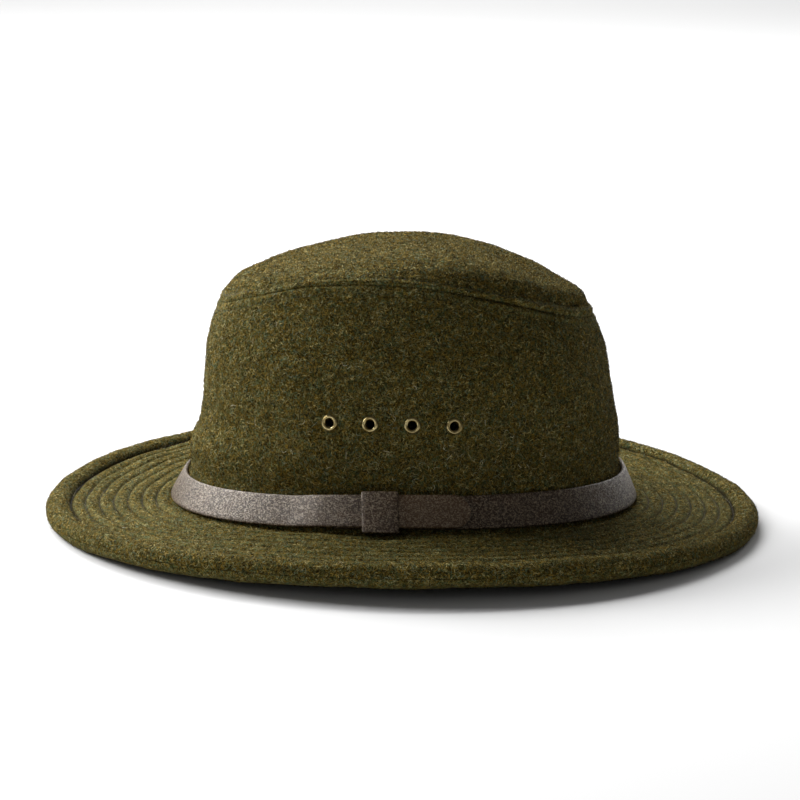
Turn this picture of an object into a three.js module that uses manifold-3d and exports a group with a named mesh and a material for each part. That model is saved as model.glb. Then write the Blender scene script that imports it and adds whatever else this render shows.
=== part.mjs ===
// Packer hat of olive heather wool, cut and sewn, with a leather strap round the crown.
// Millimetres, +Z up. The front of the hat points along -X and the wearer's left side along -Y.
// The hat stands on z = 0 on the front and the rear of its rolled brim edge; both sides curl up clear.

import * as THREE from "three";
import { mergeVertices } from "three/addons/utils/BufferGeometryUtils.js";
import Module from "manifold-3d";

const wasm = await Module();
wasm.setup();

// Sections of the hat, each a closed oval line on the outside of the cloth.
// Seen from above it is an ellipse. On the way round, pitch lifts the rear and lowers the front,
// saddle (negative here) lifts both sides and lowers both ends, and sway is a third, smaller wave.
const COLUMNS = ["halfLength", "halfWidth", "centreX", "height", "pitch", "saddle", "sway"];
const SECTIONS = named({
  brimRoll: [163.4, 144.3, 0.0, 8.1, 0.0, -3.9, 0.0],
  brimInner: [108.9, 89.9, 0.6, 13.3, 1.0, -3.0, 0.0],
  crownFoot: [108.4, 89.4, 0.6, 8.8, 1.0, -3.0, 0.0],
  brimLine: [108.2, 89.2, 0.6, 13.3, 1.0, -3.0, 0.0],
  bandMiddle: [104.9, 85.5, 0.7, 21.5, 1.6, -3.2, 0.0],
  bandTop: [101.6, 81.5, 0.8, 28.7, 2.0, -3.2, 0.0],
  flare: [100.9, 80.9, 0.6, 43.0, 1.4, -3.3, 0.0],
  wallLow: [98.0, 79.0, 2.3, 54.6, 0.5, -3.7, 0.0],
  wallMiddle: [95.3, 74.0, 1.3, 77.5, -1.3, -6.3, 0.0],
  wallHigh: [92.9, 65.5, 0.6, 94.5, -2.5, -8.7, 1.0],
  seam: [87.3, 53.9, 0.4, 111.9, -3.8, -9.9, 1.6],
  fold: [84.2, 50.8, 0.7, 116.7, -2.5, -9.7, 0.4],
  shoulder: [77.4, 42.5, 1.4, 122.2, -1.8, -8.3, -0.3],
  plateau: [39.8, 20.5, 1.4, 129.7, -0.8, -2.2, 0.0],
  crownCentre: [1.0, 1.0, 1.0, 132.7, 0.0, 0.0, 0.0],
});
const SIDE_SECTIONS = [
  "crownFoot", "brimLine", "bandMiddle", "bandTop", "flare", "wallLow", "wallMiddle", "wallHigh", "seam",
];
const TIP_SECTIONS = ["seam", "fold", "shoulder", "plateau", "crownCentre"];

// Cloth, and the small clearance between pieces that are sewn or pressed together.
const CLOTH = 2.2;
const GAP = 0.3;

// How finely the crown and the brim are divided. A span of the crown takes more rows of points where
// it is tall, and near the middle of the tip, where it bends most seen from the side.
const SEGMENTS_ROUND = 64;
const ROWS_PER_SPAN = 1;
const ROWS_PER_TALL_SPAN = 2;
const TALL_SPAN = 20;
const DIRECTION_REACH = 0.03;

// Padded roll at the brim edge. Each row is a point of the brim's cross-section: how far it lies inward
// of the roll's centre, and how far above it. The roll ends at the innermost row of stitching.
const ROLL_RADIUS = 5.5;
const ROLL_STEPS = 4;
const ROLL_TOP = [
  { inward: 3.0, rise: 5.1 },
  { inward: 5.0, rise: 4.2 },
  { inward: 6.3, rise: 3.6 },
  { inward: 8.2, rise: 4.2 },
];
const ROLL_UNDERSIDE = [
  { inward: 2.1, rise: -5.1 },
  { inward: 4.2, rise: -3.6 },
  { inward: 5.9, rise: -1.7 },
  { inward: 6.6, rise: -0.8 },
  { inward: 8.2, rise: -0.3 },
];
const LAYER_JOIN = [
  { inward: -ROLL_RADIUS, rise: 0.0 },
  { inward: 6.3, rise: 1.4 },
  { inward: 8.2, rise: 1.95 },
];
const BRIM_THICKNESS = 4.5;

// Leather strap: it starts under itself, goes once round and ends in a rounded tip on the left side.
const LEATHER = 2.0;
const STRAP_OUTER_LOW = [110.9, 92.0, 0.6, 15.3, 1.0, -3.3, 0.0];
const STRAP_OUTER_TOP = [104.3, 84.3, 0.8, 28.7, 2.0, -3.2, 0.0];
const STRAP_WIDTH = 15.6;
const STRAP_START_DEG = -108;
const STRAP_TIP_DEG = -75.7;
const STRAP_CLIMB_DEG = 12;
const STRAP_CLIMB_END_DEG = 357;
const STRAP_STEP_DEG = 5;
const STRAP_TIP_STEPS = 4;
const STRAP_TIP_TURN_DEG = 82;
const KEEPER_CENTRE_DEG = -97.3;
const KEEPER_LENGTH = 16.5;
const KEEPER_LEATHER = 1.0;
const KEEPER_DROOP = 2.0;
const KEEPER_LEAN = 1.4;
const KEEPER_STEPS = 4;
const STRAP_BULGE = 1.6;
const STRAP_BULGE_DEG = 24;

// Brass vent eyelets, four on each side.
const EYELET_FIRST_DEG = -113.2;
const EYELET_STEP_DEG = 11.2;
const EYELETS_A_SIDE = 4;
const EYELET_SECTION = 5.255;
const EYELET_SECTION_STEP = -0.014;
const EYELET_BORE_RADIUS = 1.9;
const EYELET_BARREL_RADIUS = 2.35;
const EYELET_FLANGE_RADIUS = 3.8;
const EYELET_BACK_RADIUS = 3.2;
const EYELET_CREST = 1.0;
const EYELET_METAL = 0.4;
const EYELET_SIDES = 12;

const FULL_TURN = 2 * Math.PI;
const WOOL = { color: 0x4d4824, roughness: 0.95, metalness: 0.0 };
const STRAP_LEATHER = { color: 0x3a322d, roughness: 0.55, metalness: 0.0 };
const BRASS = { color: 0x8c7a48, roughness: 0.38, metalness: 1.0 };

function named(table) {
  const entries = Object.entries(table).map(([name, row]) => [name, columns(row)]);
  return Object.fromEntries(entries);
}

function columns(row) {
  return Object.fromEntries(COLUMNS.map((column, index) => [column, row[index]]));
}

function radians(degrees) {
  return THREE.MathUtils.degToRad(degrees);
}

// Point of a section at an angle round the hat: 0 at the rear, 90 degrees on the wearer's right.
function pointOn(section, angle) {
  const wave = section.pitch * Math.cos(angle)
    + section.saddle * Math.cos(2 * angle)
    + section.sway * Math.cos(3 * angle);
  return new THREE.Vector3(
    section.centreX + section.halfLength * Math.cos(angle),
    section.halfWidth * Math.sin(angle),
    section.height + wave,
  );
}

function mix(low, high, share) {
  const entries = COLUMNS.map((column) => [column, THREE.MathUtils.lerp(low[column], high[column], share)]);
  return Object.fromEntries(entries);
}

// Smooth curve through a list of sections: at is 0 on the first, 1 on the second and so on.
function sectionAt(list, at) {
  const last = list.length - 1;
  const start = Math.min(Math.max(Math.floor(at), 0), last - 1);
  const share = at - start;
  const near = [start - 1, start, start + 1, start + 2].map((k) => list[Math.min(Math.max(k, 0), last)]);
  const entries = COLUMNS.map((column) => {
    const [before, low, high, after] = near.map((section) => section[column]);
    const leave = (high - before) / 2;
    const arrive = (after - low) / 2;
    const bend = 2 * (low - high) + leave + arrive;
    const ease = 3 * (high - low) - 2 * leave - arrive;
    return [column, low + share * (leave + share * (ease + share * bend))];
  });
  return Object.fromEntries(entries);
}

const CROWN = [...SIDE_SECTIONS, ...TIP_SECTIONS.slice(1)].map((name) => SECTIONS[name]);
const SEAM_AT = SIDE_SECTIONS.length - 1;
const CROWN_END = CROWN.length - 1;

function crownPoint(at, angle) {
  return pointOn(sectionAt(CROWN, at), angle);
}

// Outward direction of the crown's cloth, from the neighbouring points along and round it.
function crownNormal(at, angle) {
  const up = crownPoint(Math.min(at + DIRECTION_REACH, CROWN_END), angle);
  up.sub(crownPoint(Math.max(at - DIRECTION_REACH, 0), angle));
  const along = crownPoint(at, angle + DIRECTION_REACH).sub(crownPoint(at, angle - DIRECTION_REACH));
  return along.cross(up).normalize();
}

// Closed body from rings with equally many points. The last ring joins the first, or each end is capped.
function loft(rings, joined) {
  const sides = rings[0].length;
  const positions = rings.flat().flatMap((point) => [point.x, point.y, point.z]);
  const index = [];
  const spans = joined ? rings.length : rings.length - 1;
  for (let ring = 0; ring < spans; ring += 1) {
    const here = ring * sides;
    const next = ((ring + 1) % rings.length) * sides;
    for (let side = 0; side < sides; side += 1) {
      const after = (side + 1) % sides;
      index.push(here + side, next + side, next + after);
      index.push(here + side, next + after, here + after);
    }
  }
  if (!joined) {
    capEnd(positions, index, rings, 0, false);
    capEnd(positions, index, rings, rings.length - 1, true);
  }
  const geometry = new THREE.BufferGeometry();
  geometry.setAttribute("position", new THREE.Float32BufferAttribute(positions, 3));
  geometry.setIndex(index);
  return faceOutward(geometry);
}

function capEnd(positions, index, rings, ring, isLast) {
  const sides = rings[ring].length;
  const centre = rings[ring].reduce((sum, point) => sum.add(point), new THREE.Vector3());
  centre.divideScalar(sides);
  const hub = positions.length / 3;
  positions.push(centre.x, centre.y, centre.z);
  for (let side = 0; side < sides; side += 1) {
    const here = ring * sides + side;
    const after = ring * sides + (side + 1) % sides;
    index.push(...(isLast ? [here, hub, after] : [here, after, hub]));
  }
}

function faceOutward(geometry) {
  const point = (corner) => new THREE.Vector3().fromBufferAttribute(geometry.attributes.position, corner);
  const index = Array.from(geometry.index.array);
  let volume = 0;
  for (let k = 0; k < index.length; k += 3) {
    volume += point(index[k]).dot(point(index[k + 1]).cross(point(index[k + 2])));
  }
  if (volume < 0) {
    geometry.setIndex(index.reverse());
  }
  geometry.computeVertexNormals();
  return geometry;
}

function ringOf(pointAtAngle) {
  const angles = Array.from({ length: SEGMENTS_ROUND }, (_, k) => (k / SEGMENTS_ROUND) * FULL_TURN);
  return angles.map(pointAtAngle);
}

// Places along the crown's curve where a row of points is set.
function rowsBetween(from, to) {
  const rows = [from];
  for (let span = from; span < to; span += 1) {
    const tall = CROWN[span + 1].height - CROWN[span].height > TALL_SPAN || span > SEAM_AT + 1;
    const count = tall ? ROWS_PER_TALL_SPAN : ROWS_PER_SPAN;
    for (let row = 1; row <= count; row += 1) {
      rows.push(span + row / count);
    }
  }
  return rows;
}

function crownRing(at, depth, lift) {
  return ringOf((angle) => {
    const point = crownPoint(at, angle).addScaledVector(crownNormal(at, angle), -depth);
    point.z += lift;
    return point;
  });
}

function crownSideWall() {
  const rows = rowsBetween(0, SEAM_AT);
  const outer = rows.map((at) => crownRing(at, 0, 0));
  const inner = rows.map((at) => crownRing(at, CLOTH, 0)).reverse();
  return loft([...outer, ...inner], true);
}

function crownTip() {
  const rows = rowsBetween(SEAM_AT, CROWN_END).reverse();
  const outer = rows.map((at) => crownRing(at, 0, GAP));
  const inner = rows.map((at) => crownRing(at, CLOTH, GAP)).reverse();
  return loft([...outer, ...inner], false);
}

// The brim near its edge: a point given by how far inward of the roll's centre and how far above it.
function brimEdgePoint(angle, { inward, rise }) {
  const roll = SECTIONS.brimRoll;
  const section = { ...roll, halfLength: roll.halfLength - inward, halfWidth: roll.halfWidth - inward };
  const point = pointOn(section, angle);
  point.z += rise;
  return point;
}

// The brim's inner edge, where the crown passes through it, at a depth below the upper face.
function brimInnerPoint(angle, depth) {
  const point = pointOn(SECTIONS.brimInner, angle);
  point.z -= depth;
  return point;
}

function rollArc(direction) {
  const arc = [];
  for (let step = 1; step <= ROLL_STEPS; step += 1) {
    const turn = (step / ROLL_STEPS) * Math.PI / 2;
    const inward = -ROLL_RADIUS * Math.cos(turn);
    arc.push({ inward, rise: direction * ROLL_RADIUS * Math.sin(turn) });
  }
  return arc;
}

// One cloth layer: its visible face from the edge inward, then back along the join between the layers.
function brimLayer(direction, face, faceDepth) {
  const shift = direction * GAP / 2;
  const join = LAYER_JOIN.map(({ inward, rise }) => ({ inward, rise: rise + shift }));
  const joinDepth = BRIM_THICKNESS / 2 - shift;
  const rings = [...rollArc(direction), ...face].map((row) => ringOf((angle) => brimEdgePoint(angle, row)));
  rings.push(ringOf((angle) => brimInnerPoint(angle, faceDepth)));
  rings.push(ringOf((angle) => brimInnerPoint(angle, joinDepth)));
  rings.push(...join.reverse().map((row) => ringOf((angle) => brimEdgePoint(angle, row))));
  // The roll's underside is pressed flat where the hat rests on it.
  rings.flat().forEach((point) => {
    point.z = Math.max(point.z, 0);
  });
  return loft(rings, true);
}

// A point of the strap: share 0 on its lower edge and 1 on its upper edge, out from the crown's first layer.
function strapPoint(angle, share, out) {
  const low = columns(STRAP_OUTER_LOW);
  const top = columns(STRAP_OUTER_TOP);
  const section = mix(low, top, share);
  const point = pointOn(section, angle);
  const along = pointOn(section, angle + DIRECTION_REACH).sub(pointOn(section, angle - DIRECTION_REACH));
  const up = pointOn(top, angle).sub(pointOn(low, angle));
  const normal = along.cross(up).normalize();
  return point.addScaledVector(normal, out + strapBulge(angle));
}

// The strap stands out a little where the keeper passes behind it.
function strapBulge(angle) {
  const off = Math.abs(angleFrom(angle, radians(KEEPER_CENTRE_DEG))) / radians(STRAP_BULGE_DEG);
  return off < 1 ? STRAP_BULGE * (1 + Math.cos(Math.PI * off)) / 2 : 0;
}

function angleFrom(angle, centre) {
  return Math.atan2(Math.sin(angle - centre), Math.cos(angle - centre));
}

function smooth(share) {
  return THREE.MathUtils.smoothstep(share, 0, 1);
}

// Angles along the strap from its hidden start to its tip, and how much of its width is left at each.
function strapStations() {
  const span = 360 + STRAP_TIP_DEG - STRAP_START_DEG;
  const halfWidthDeg = THREE.MathUtils.radToDeg(STRAP_WIDTH / 2 / SECTIONS.bandMiddle.halfLength);
  const straight = span - halfWidthDeg;
  const steps = Math.round(straight / STRAP_STEP_DEG);
  const stations = [];
  for (let step = 0; step <= steps; step += 1) {
    stations.push({ turned: (step / steps) * straight, width: 1 });
  }
  for (let step = 1; step <= STRAP_TIP_STEPS; step += 1) {
    const turn = radians(STRAP_TIP_TURN_DEG) * (step / STRAP_TIP_STEPS);
    stations.push({ turned: straight + halfWidthDeg * Math.sin(turn), width: Math.cos(turn) });
  }
  return stations;
}

function bandStrap() {
  const climbStart = STRAP_CLIMB_END_DEG - STRAP_CLIMB_DEG;
  const rings = strapStations().map(({ turned, width }) => {
    const angle = radians(STRAP_START_DEG + turned);
    const layer = smooth((turned - climbStart) / STRAP_CLIMB_DEG) * (LEATHER + GAP);
    const low = 0.5 - width / 2;
    const top = 0.5 + width / 2;
    return [
      strapPoint(angle, low, layer - LEATHER),
      strapPoint(angle, low, layer),
      strapPoint(angle, top, layer),
      strapPoint(angle, top, layer - LEATHER),
    ];
  });
  return loft(rings, false);
}

// Corners of the keeper's loop, seen along the strap: how far up from the strap's lower edge and how far
// out from its first layer. The front hangs a little below the strap.
function keeperCorners(leather) {
  const back = -LEATHER - GAP - leather;
  const front = LEATHER + 2 * GAP + leather;
  const low = -GAP - leather;
  const top = STRAP_WIDTH + GAP + leather;
  return [
    { up: low, out: back },
    { up: low - KEEPER_DROOP, out: front },
    { up: top, out: front },
    { up: top, out: back },
  ];
}

// Point of the keeper by its distance along the strap, so that both its ends are parallel. It leans a
// little: its top edge lies further forward than its lower edge.
function keeperPoint(along, { up, out }) {
  const share = up / STRAP_WIDTH;
  const radius = mix(columns(STRAP_OUTER_LOW), columns(STRAP_OUTER_TOP), share).halfLength + out;
  const leaning = along + KEEPER_LEAN * (0.5 - share);
  return strapPoint(radians(KEEPER_CENTRE_DEG) + leaning / radius, share, out);
}

// Closed leather loop round both layers of the strap.
function bandKeeper() {
  const corners = { outer: keeperCorners(KEEPER_LEATHER), inner: keeperCorners(0) };
  const ringAt = (step, kind) => {
    const along = KEEPER_LENGTH * (step / KEEPER_STEPS - 0.5);
    return corners[kind].map((corner) => keeperPoint(along, corner));
  };
  const steps = Array.from({ length: KEEPER_STEPS + 1 }, (_, step) => step);
  const outer = steps.map((step) => ringAt(step, "outer"));
  const inner = steps.map((step) => ringAt(step, "inner")).reverse();
  return loft([...outer, ...inner], true);
}

// Places of one side's eyelets, front to rear; side is -1 for the wearer's left and +1 for the right.
function eyeletPlaces(side) {
  const indices = Array.from({ length: EYELETS_A_SIDE }, (_, k) => k);
  return indices.map((k) => ({
    angle: -side * radians(EYELET_FIRST_DEG + k * EYELET_STEP_DEG),
    at: EYELET_SECTION + k * EYELET_SECTION_STEP,
  }));
}

function eyeletGeometry() {
  const back = -CLOTH - GAP;
  const rim = EYELET_FLANGE_RADIUS - EYELET_METAL;
  const profile = [
    [EYELET_BORE_RADIUS, GAP + EYELET_METAL],
    [EYELET_BORE_RADIUS, back - EYELET_METAL],
    [EYELET_BACK_RADIUS, back - EYELET_METAL],
    [EYELET_BACK_RADIUS, back],
    [EYELET_BARREL_RADIUS, back],
    [EYELET_BARREL_RADIUS, GAP],
    [EYELET_FLANGE_RADIUS, GAP],
    [rim, GAP + EYELET_METAL],
    [(EYELET_BORE_RADIUS + EYELET_BARREL_RADIUS) / 2, EYELET_CREST],
    [EYELET_BORE_RADIUS, GAP + EYELET_METAL],
  ];
  const points = profile.map(([radius, height]) => new THREE.Vector2(radius, height));
  return new THREE.LatheGeometry(points, EYELET_SIDES);
}

// Stands an object on the crown's cloth with its own Y axis pointing out of it.
function standOnCrown(object, { at, angle }) {
  const normal = crownNormal(at, angle);
  object.position.copy(crownPoint(at, angle));
  object.quaternion.setFromUnitVectors(new THREE.Vector3(0, 1, 0), normal);
  object.updateMatrix();
  return object;
}

function toSolid(geometry) {
  const bare = geometry.clone();
  bare.deleteAttribute("normal");
  bare.deleteAttribute("uv");
  const merged = mergeVertices(bare);
  const vertProperties = new Float32Array(merged.attributes.position.array);
  const triVerts = new Uint32Array(merged.index.array);
  return new wasm.Manifold(new wasm.Mesh({ numProp: 3, vertProperties, triVerts }));
}

function fromSolid(solid) {
  const { vertProperties, triVerts } = solid.getMesh();
  const geometry = new THREE.BufferGeometry();
  geometry.setAttribute("position", new THREE.Float32BufferAttribute(vertProperties, 3));
  geometry.setIndex(new THREE.BufferAttribute(triVerts, 1));
  geometry.computeVertexNormals();
  return geometry;
}

function crownSide() {
  const hole = new THREE.CylinderGeometry(
    EYELET_BARREL_RADIUS + GAP, EYELET_BARREL_RADIUS + GAP, 4 * CLOTH, EYELET_SIDES,
  );
  let wall = toSolid(crownSideWall());
  for (const side of [-1, 1]) {
    for (const place of eyeletPlaces(side)) {
      const placed = standOnCrown(new THREE.Object3D(), place);
      wall = wall.subtract(toSolid(hole.clone().applyMatrix4(placed.matrix)));
    }
  }
  return fromSolid(wall);
}

function addPiece(group, name, geometry, finish) {
  const mesh = new THREE.Mesh(geometry, new THREE.MeshStandardMaterial(finish));
  mesh.name = name;
  group.add(mesh);
  return mesh;
}

function addEyelets(group) {
  for (const [side, sideName] of [[-1, "left"], [1, "right"]]) {
    eyeletPlaces(side).forEach((place, k) => {
      const eyelet = addPiece(group, `eyelet_${sideName}_${k + 1}`, eyeletGeometry(), BRASS);
      standOnCrown(eyelet, place);
    });
  }
}

const hat = new THREE.Group();
addPiece(hat, "crown_side", crownSide(), WOOL);
addPiece(hat, "crown_tip", crownTip(), WOOL);
addPiece(hat, "brim_upper", brimLayer(1, ROLL_TOP, 0), WOOL);
addPiece(hat, "brim_lower", brimLayer(-1, ROLL_UNDERSIDE, BRIM_THICKNESS), WOOL);
addPiece(hat, "band_strap", bandStrap(), STRAP_LEATHER);
addPiece(hat, "band_keeper", bandKeeper(), STRAP_LEATHER);
addEyelets(hat);

export default hat;
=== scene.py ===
import math

import bmesh
import bpy
import numpy as np
from mathutils import Matrix, Vector


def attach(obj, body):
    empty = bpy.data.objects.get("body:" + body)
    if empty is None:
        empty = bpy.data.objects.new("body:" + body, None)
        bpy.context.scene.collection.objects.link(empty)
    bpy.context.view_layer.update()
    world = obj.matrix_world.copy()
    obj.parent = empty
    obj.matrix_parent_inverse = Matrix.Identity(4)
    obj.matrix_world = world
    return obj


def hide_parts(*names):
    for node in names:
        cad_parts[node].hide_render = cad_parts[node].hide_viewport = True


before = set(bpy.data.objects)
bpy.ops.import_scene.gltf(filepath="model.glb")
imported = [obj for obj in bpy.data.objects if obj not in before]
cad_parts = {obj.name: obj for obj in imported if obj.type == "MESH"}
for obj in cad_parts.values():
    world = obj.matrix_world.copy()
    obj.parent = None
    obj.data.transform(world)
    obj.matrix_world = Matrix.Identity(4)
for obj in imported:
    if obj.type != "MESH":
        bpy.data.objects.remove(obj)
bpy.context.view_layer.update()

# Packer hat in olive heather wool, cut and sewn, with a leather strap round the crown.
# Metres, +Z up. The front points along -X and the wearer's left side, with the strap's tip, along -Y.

# Sections of the hat, each a closed oval line on the outside of the cloth. Seen from above it is an
# ellipse. On the way round, pitch lifts the rear, a negative saddle lifts both sides, and sway is a
# third, smaller wave.
# Columns: half length, half width, centre x, height, pitch, saddle, sway.
SECTIONS = {
    "brim_roll": (0.1634, 0.1443, 0.0000, 0.0081, 0.0000, -0.0039, 0.0000),
    "brim_inner": (0.1089, 0.0899, 0.0006, 0.0133, 0.0010, -0.0030, 0.0000),
    "crown_foot": (0.1084, 0.0894, 0.0006, 0.0088, 0.0010, -0.0030, 0.0000),
    "brim_line": (0.1082, 0.0892, 0.0006, 0.0133, 0.0010, -0.0030, 0.0000),
    "band_middle": (0.1049, 0.0855, 0.0007, 0.0215, 0.0016, -0.0032, 0.0000),
    "band_top": (0.1016, 0.0815, 0.0008, 0.0287, 0.0020, -0.0032, 0.0000),
    "flare": (0.1009, 0.0809, 0.0006, 0.0430, 0.0014, -0.0033, 0.0000),
    "wall_low": (0.0980, 0.0790, 0.0023, 0.0546, 0.0005, -0.0037, 0.0000),
    "wall_middle": (0.0953, 0.0740, 0.0013, 0.0775, -0.0013, -0.0063, 0.0000),
    "wall_high": (0.0929, 0.0655, 0.0006, 0.0945, -0.0025, -0.0087, 0.0010),
    "seam": (0.0873, 0.0539, 0.0004, 0.1119, -0.0038, -0.0099, 0.0016),
    "fold": (0.0842, 0.0508, 0.0007, 0.1167, -0.0025, -0.0097, 0.0004),
    "shoulder": (0.0774, 0.0425, 0.0014, 0.1222, -0.0018, -0.0083, -0.0003),
    "plateau": (0.0398, 0.0205, 0.0014, 0.1297, -0.0008, -0.0022, 0.0000),
    "crown_centre": (0.0010, 0.0010, 0.0010, 0.1327, 0.0000, 0.0000, 0.0000),
}
CROWN = np.array(list(SECTIONS.values())[2:])
SEAM_AT = 8
CROWN_END = len(CROWN) - 1
MM = 0.001
TINY = 1e-12
TANGENT_STEP = 0.02
WAVE_LENGTHS = (1.3, 2.6)

# Cloth and its seams
CLOTH = 2.2 * MM
GAP = 0.3 * MM
STRAP_COVERS = 30 * MM
SOFT_ABOVE_STRAP = 15 * MM
SEAM_PUFF = 0.30 * MM
UPPER_PUFF = 1.3
SEAM_CREASE = 1.1 * MM
CREASE_LEAST = 0.4
SHOULDER_EASE = 1.6 * MM
EASE_START = 3 * MM
CREASE_CENTRE_DEG = -70.0
CREASE_REACH_DEG = 35.0
LEDGE_CENTRE_DEG = -65.0
LEDGE_REACH_DEG = 38.0
LEDGE_DEPTH = 0.6 * MM
FOLD_CENTRE_DEG = -38.0
FOLD_REACH_DEG = 30.0
FOLD_DEPTH = 0.9 * MM
FOLD_SWELL = 0.6
TOPSTITCH_BELOW = 4.2 * MM
TOPSTITCH_ABOVE = 3.8 * MM
TOPSTITCH_DEPTH = 0.42 * MM
TOPSTITCH_REACH = 0.7 * MM

# Places of the seam's relief: distance above the seam, and how far it reaches each way
CREASE_AT = (0, 0.8 * MM)
LOWER_PUFF_AT = (-2.4 * MM, 1.9 * MM)
UPPER_PUFF_AT = (2.2 * MM, 2.0 * MM)
LEDGE_AT = (1.6 * MM, 1.3 * MM)
FOLD_AT = (6.2 * MM, 1.3 * MM)
FOLD_SWELL_AT = (3.0 * MM, 2.0 * MM)
EASE_AT = (10 * MM, 9 * MM)

# Unevenness of soft cloth, in layers
# Columns: depth, size of its hollows and swells, seed.
CROWN_SOFTNESS = ((0.6 * MM, 40 * MM, 11), (0.3 * MM, 14 * MM, 12), (0.15 * MM, 5 * MM, 13))
BRIM_SOFTNESS = ((0.35 * MM, 22 * MM, 21), (0.16 * MM, 7 * MM, 22), (0.07 * MM, 3 * MM, 23))
SEAM_UNEVEN_MEAN = 0.75
SEAM_UNEVEN_SPREAD = 0.35
SEAM_UNEVEN_SIZE = 25 * MM
SEAM_UNEVEN_SEED = 10

# Thread. Each stitch is a bead with rings at these places along it, from 0 to 1; a ring's width and its
# height above the cloth are in parts of the thread's radius.
STITCH_PITCH = 2.6 * MM
STITCH_LENGTH = 2.0 * MM
THREAD_RADIUS = 0.24 * MM
STITCH_RINGS = ((0.0, 0.4, -1.8), (0.5, 1.0, 0.4), (1.0, 0.4, -1.8))
STITCH_SIDES = 4
STITCH_REACH = 0.2 * MM
CROWN_THREAD_LIFT = 0.10 * MM
BRIM_THREAD_LIFT = 0.05 * MM

# Brim: a rolled, padded edge and rows of stitching inside it
ROLL_RADIUS = 5.5 * MM
ROLL_GROOVE = 6.2 * MM
ROW_SPACING = 6.7 * MM
ROW_COUNT = 7
ROW_DEPTH = 1.35 * MM
GROOVE_DEPTH = 2.2 * MM
# Painted shade in the brim's cloth colour: full in the groove inside the roll, ROW_SHADE of it on the other
# rows of stitching, and how far each reaches
ROW_SHADE = 0.75
ROW_SHADE_REACH = 0.6 * MM
GROOVE_SHADE_REACH = 1.0 * MM
QUILT_POWER = 2.6
QUILT_PUFF = 0.25 * MM
LAYERS_PART = 8.2 * MM
ROLL_BLEND = 3 * MM
UNDER_GROOVE = 0.3 * MM
EDGE_INSET = 0.02 * MM
EDGE_SETTLE = 2 * MM
ROLL_INNER = {1: (6.3 * MM, 2.2), -1: (6.9 * MM, 2.0)}
BRIM_RISE = 3.0 * MM
SLOPE_ENDS = (-0.05, 1.05)
BRIM_THICKNESS = 3.3 * MM
BRIM_WIDTH = 54.4 * MM

# Strap, keeper and eyelets
LEATHER = 2.0 * MM
STRAP_OUTER_LOW = np.array((0.1109, 0.0920, 0.0006, 0.0153, 0.0010, -0.0033, 0.0000))
STRAP_OUTER_TOP = np.array((0.1043, 0.0843, 0.0008, 0.0287, 0.0020, -0.0032, 0.0000))
STRAP_WIDTH = 15.6 * MM
STRAP_START_DEG = -108.0
STRAP_TIP_DEG = -75.7
STRAP_CLIMB_DEG = 12.0
STRAP_CLIMB_END_DEG = 357.0
KEEPER_CENTRE_DEG = -97.3
KEEPER_LENGTH = 16.5 * MM
KEEPER_LEATHER = 1.0 * MM
KEEPER_DROOP = 2.0 * MM
KEEPER_LEAN = 1.4 * MM
KEEPER_OUTER_CORNER = 1.1 * MM
KEEPER_INNER_CORNER = 0.5 * MM
KEEPER_CORNER_STEPS = 5
KEEPER_END_STEPS = np.array([0.0, 0.10, 0.30]) * MM
KEEPER_END_DIPS = np.array([0.30, 0.10, 0.0]) * MM
KEEPER_MIDDLE_STATIONS = 10
STRAP_STATIONS = 380
STRAP_TIP_STATIONS = 22
STRAP_TIP_LEAST = 0.0004
STRAP_EDGE = 0.35
STRAP_RING_POINTS = 28
STRAP_BULGE = 1.6 * MM
STRAP_BULGE_DEG = 24.0
# Painted light on the tab: how far back from the strap's tip it reaches, and how it fades in
TAB_DEG = 24.0
TAB_FADE_DEG = 4
EYELET_FIRST_DEG = -113.2
EYELET_STEP_DEG = 11.2
EYELETS_A_SIDE = 4
EYELET_SECTION = 5.255
EYELET_SECTION_STEP = -0.014
EYELET_BORE = 1.9 * MM
EYELET_BARREL = 2.35 * MM
EYELET_FLANGE = 3.8 * MM
EYELET_BACK = 3.2 * MM
EYELET_LIP = 0.45 * MM
EYELET_CREST = 1.15 * MM
EYELET_SUNK = 0.15 * MM
EYELET_SIDES = 48
EYELET_ARC_POINTS = 11
HOLE_SIDES = 32
HOLE_REACH = 4 * CLOTH
EYELET_PRESS = 5.5 * MM
EYELET_PRESS_FADE = 4 * MM
EYELET_BARE = 1.5 * MM

# How finely the cloth is divided. Rows are closest at the seam.
# Columns of the spans: from, to, rows; the places are numbers of the crown's sections.
COLUMNS_ROUND = 360
BRIM_COLUMNS = 400
SIDE_ROWS = ((0, 3, 14), (3, 7, 52), (7, SEAM_AT, 34))
TIP_ROWS = ((SEAM_AT, SEAM_AT + 1, 24), (SEAM_AT + 1, CROWN_END, 40))
SIDE_INSIDE_ROWS = 15
TIP_INSIDE_ROWS = 13
TIP_FADE = 0.6
ROLL_ARC_ROWS = 12
ROLL_INNER_ROWS = 14
ROWS_BETWEEN_STITCHING = 8
BRIM_BACK_ROWS = 7

# Marks on the points of a mesh that its material reads, from 0 to 1: painted light that makes the strap's
# tab paler, and painted shade in the brim's stitched grooves
PAINTED_TAB_LIGHT = "painted_tab_light"
PAINTED_GROOVE_SHADE = "painted_groove_shade"

random = np.random.default_rng(7)


# Shapes from sections

def oval(section, angle):
    """Points of one section, or of a column of sections, at angles round the hat; 0 is the rear."""
    half_length, half_width, centre_x, height, pitch, saddle, sway = np.moveaxis(section, -1, 0)
    wave = pitch * np.cos(angle) + saddle * np.cos(2 * angle) + sway * np.cos(3 * angle)
    x = centre_x + half_length * np.cos(angle)
    y = half_width * np.sin(angle)
    return np.stack([x, y, height + wave], axis=-1)


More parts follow.
